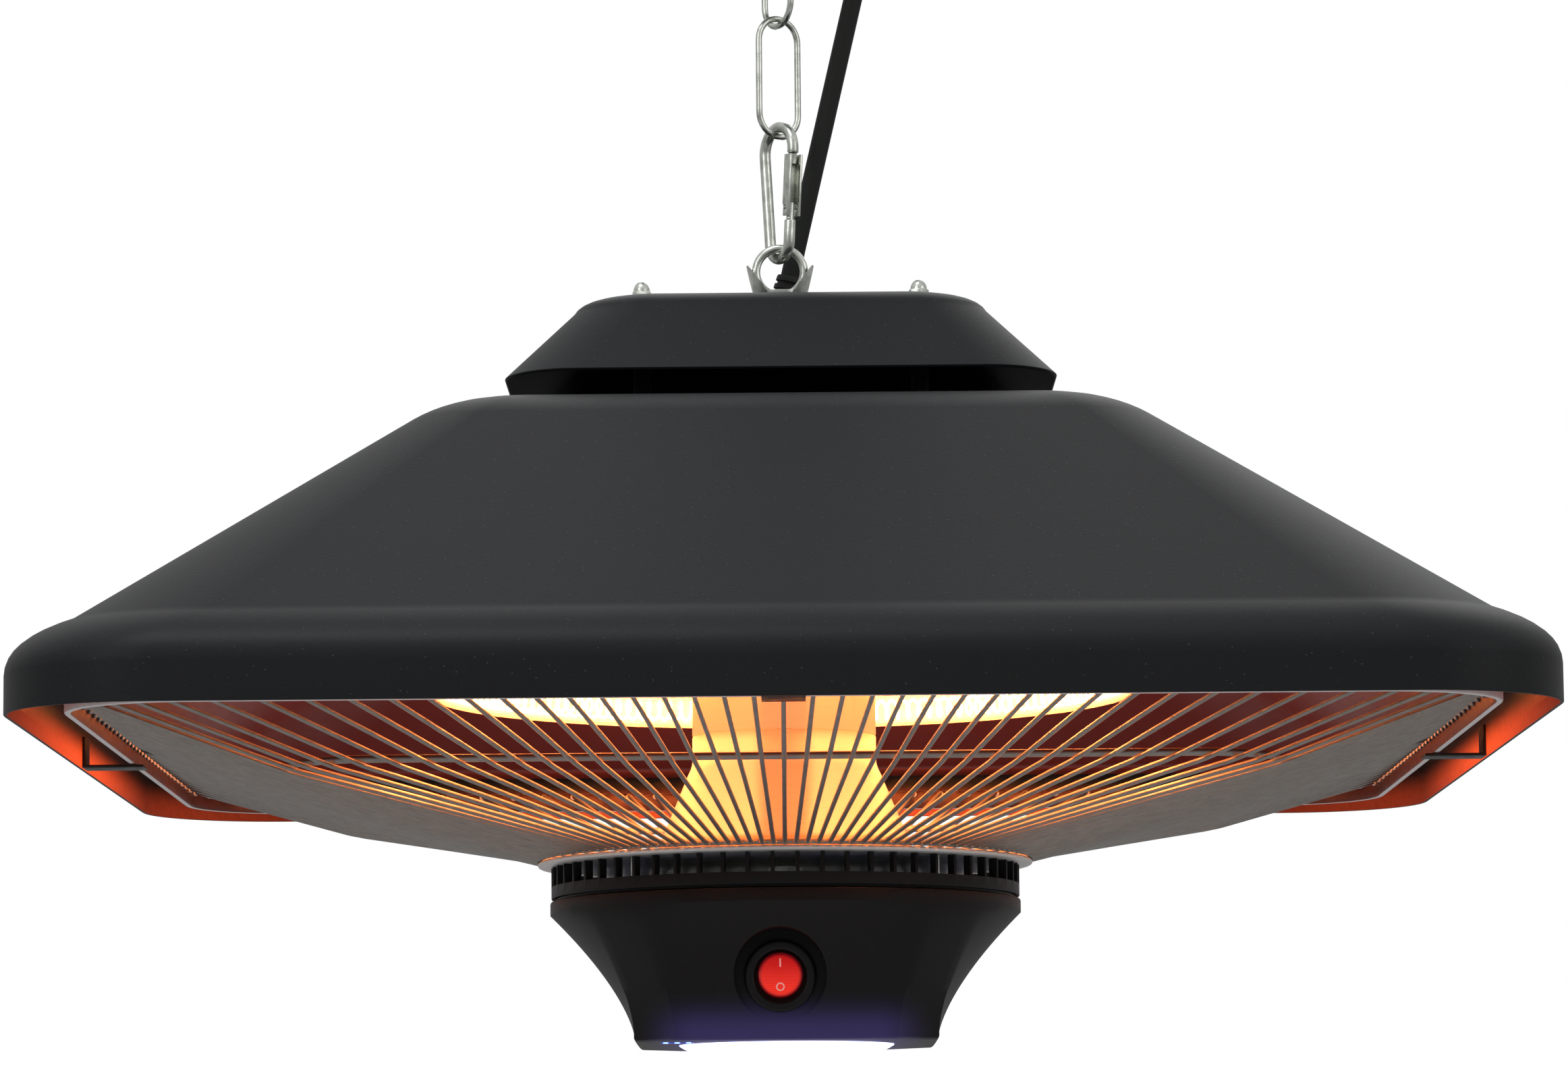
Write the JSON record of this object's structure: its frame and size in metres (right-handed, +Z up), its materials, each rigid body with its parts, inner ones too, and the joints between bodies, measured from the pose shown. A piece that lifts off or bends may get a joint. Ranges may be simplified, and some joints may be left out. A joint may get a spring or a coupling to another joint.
{
  "type": "pendant ceiling heater",
  "caption": "Square black shade on a chain, with a ring-shaped heating tube behind a dished wire guard and a housing with lamp and switch below.",
  "frame": {"origin": "middle of the ceiling plate's top face, where it meets the ceiling", "axes": "+Z up through the chain and the hood's middle, -Y towards the side with the rocker switch, +X to the right as seen from that side"},
  "size_m": [0.5, 0.5, 0.4481],
  "materials": {
    "black_paint": "black powder coat with a fine grain",
    "black_plastic": "moulded black plastic, fine matt texture",
    "black_rubber": "smooth black rubber",
    "zinc": "bright zinc plate",
    "steel_wire": "plated steel wire, welded",
    "pale_steel": "pale grey plated sheet",
    "bright_aluminium": "polished aluminium sheet",
    "galvanised": "galvanised sheet steel",
    "ceramic": "unglazed ceramic",
    "quartz": "clear quartz tube",
    "hot_wire": "glowing resistance wire",
    "board_green": "green circuit board",
    "transformer_blue": "potted block",
    "lamp_white": "lit milky lens",
    "rocker_red": "lit red clear plastic",
    "indicator_blue": "lit blue indicator"
  },
  "bodies": {
    "ceiling": {"ceiling_plate": "galvanised", "ceiling_hook": "zinc", "ceiling_grommet": "black_rubber"},
    "upper_link": {"upper_chain_link": "zinc"},
    "lower_link": {"lower_chain_link": "zinc"},
    "hook": {"snap_hook": "zinc", "gate_pin": "zinc"},
    "gate": {"hook_gate": "zinc"},
    "heater": {"lifting_eye": "zinc", "eye_cup": "zinc", "eye_nut": "zinc", "top_cap": "black_paint", "dome_nut_1": "zinc", "dome_nut_2": "zinc", "dome_nut_3": "zinc", "dome_nut_4": "zinc", "cap_bolt_1": "zinc", "cap_bolt_2": "zinc", "cap_bolt_3": "zinc", "cap_bolt_4": "zinc", "cap_spacer_1": "black_paint", "cap_spacer_2": "black_paint", "cap_spacer_3": "black_paint", "cap_spacer_4": "black_paint", "cable_gland": "black_rubber", "mains_lead": "black_rubber", "hood": "black_paint", "chassis": "galvanised", "reflector": "bright_aluminium", "heating_tube": "quartz", "heating_coil": "hot_wire", "tube_end_cap_1": "ceramic", "tube_end_cap_2": "ceramic", "tube_holder_1": "galvanised", "tube_holder_2": "galvanised", "tube_holder_3": "galvanised", "centre_column": "bright_aluminium", "column_cone": "bright_aluminium", "tie_rod": "zinc", "tie_rod_nut": "zinc", "guard": "steel_wire", "guard_middle_ring": "steel_wire", "guard_clip_1": "galvanised", "guard_clip_2": "galvanised", "guard_clip_3": "galvanised", "guard_clip_4": "galvanised", "hub_plate": "pale_steel", "vent_ring": "black_plastic", "control_housing": "black_plastic", "housing_screw_1": "zinc", "housing_screw_2": "zinc", "housing_screw_3": "zinc", "housing_screw_4": "zinc", "control_board": "board_green", "transformer": "transformer_blue", "lamp_board": "board_green", "lamp_lens": "lamp_white", "switch_body": "black_plastic", "indicator_window": "indicator_blue"},
    "rocker": {"switch_rocker": "rocker_red"}
  },
  "joints": [
    {"name": "upper_link_swing", "type": "hinge", "parent": "ceiling", "child": "upper_link", "pos_m": [0, 0, -0.036], "axis": [0.829, 0.5592, 0], "range_deg": [-15, 15], "deforming": ["mains_lead"]},
    {"name": "lower_link_swing", "type": "hinge", "parent": "upper_link", "child": "lower_link", "pos_m": [0, 0, -0.07575], "axis": [0.5592, -0.829, 0], "range_deg": [-15, 15], "deforming": ["mains_lead"]},
    {"name": "hook_swing", "type": "hinge", "parent": "lower_link", "child": "hook", "pos_m": [0, 0, -0.11635], "axis": [0.829, 0.5592, 0], "range_deg": [-15, 15], "deforming": ["mains_lead"]},
    {"name": "heater_swing", "type": "hinge", "parent": "hook", "child": "heater", "pos_m": [0, 0, -0.1609], "axis": [0.5592, -0.829, 0], "range_deg": [-12, 12], "deforming": ["mains_lead"]},
    {"name": "gate_opening", "type": "hinge", "parent": "hook", "child": "gate", "pos_m": [0.00396, -0.00587, -0.1434], "axis": [-0.829, -0.5592, 0], "range_deg": [0, 25], "stiffness_Nm_per_rad": 0.02, "springref_deg": -14.32},
    {"name": "rocker_tilt", "type": "hinge", "parent": "heater", "child": "rocker", "pos_m": [-0.002, -0.0548, -0.4204], "axis": [1, 0, 0], "range_deg": [0, 14]}
  ]
}
